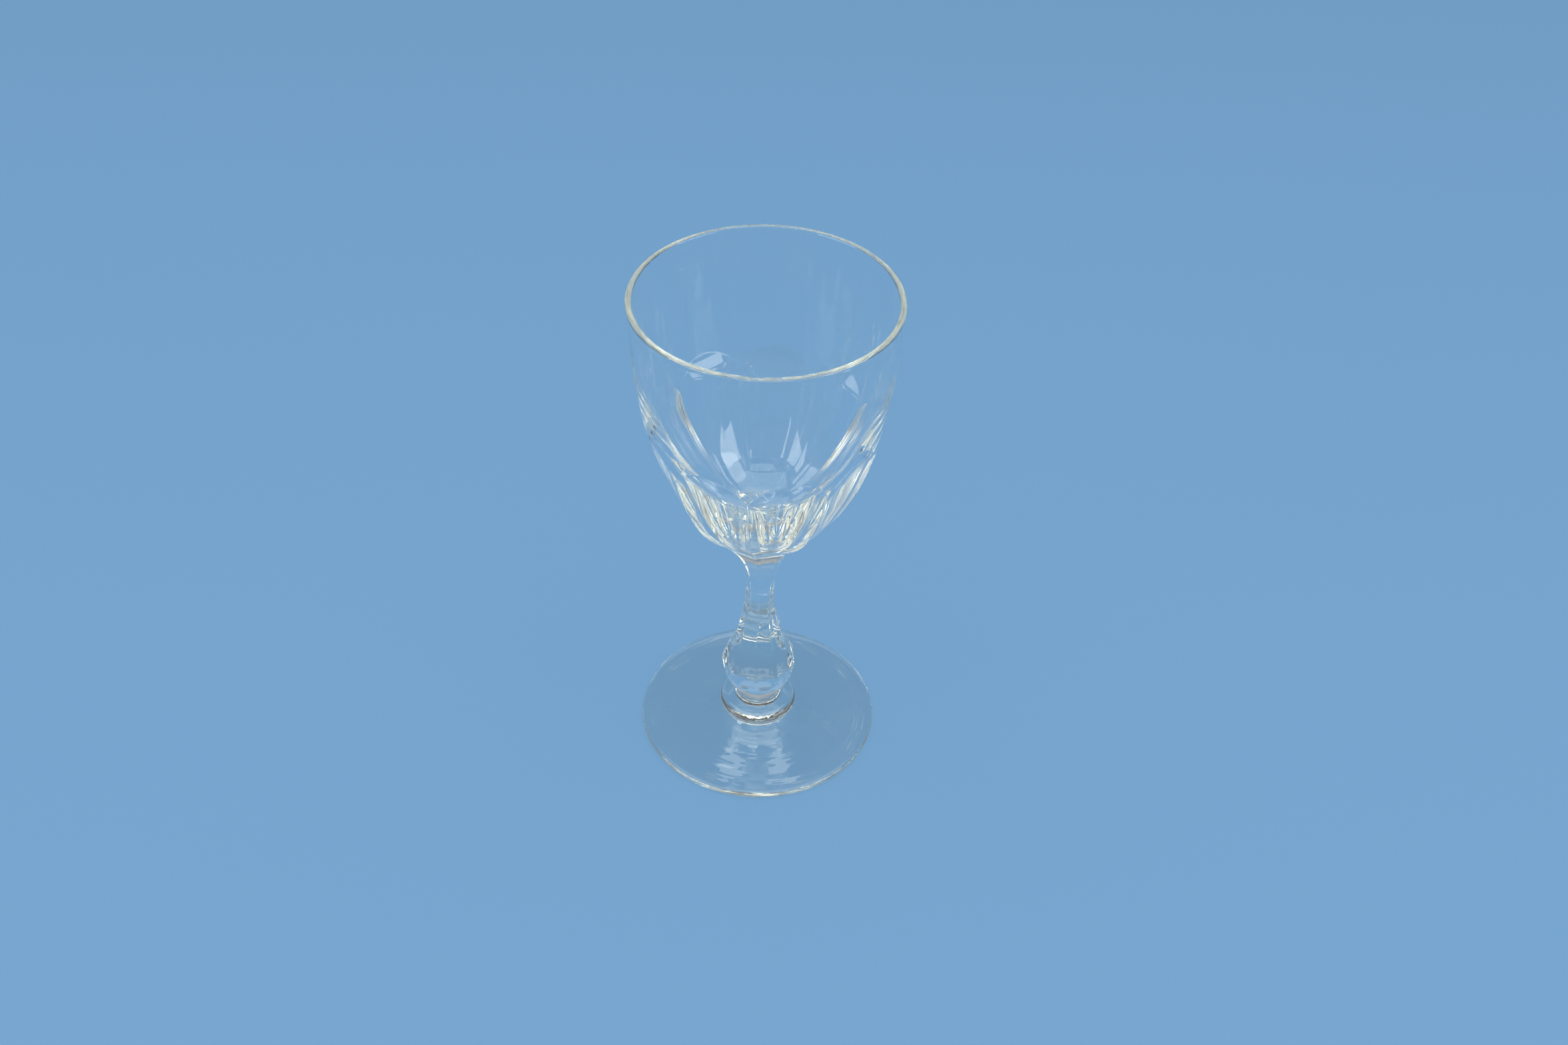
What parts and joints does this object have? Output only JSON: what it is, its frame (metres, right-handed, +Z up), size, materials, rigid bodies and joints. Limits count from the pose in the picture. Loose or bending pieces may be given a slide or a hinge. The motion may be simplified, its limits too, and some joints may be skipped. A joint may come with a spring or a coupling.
{
  "type": "dessert wine glass",
  "caption": "Small clear stemmed glass: deep bowl with a ring of tall cut panels running down the stem to a faceted knop, round collar and disc foot.",
  "frame": {"origin": "centre of the foot's underside, on the plane that the glass stands on", "axes": "+Z up along the glass; -Y towards the viewer of the picture; +X to the viewer's right"},
  "size_m": [0.059, 0.059, 0.125],
  "materials": {
    "glass": "clear polished"
  },
  "bodies": {
    "root": {"glass": "glass"}
  },
  "joints": []
}
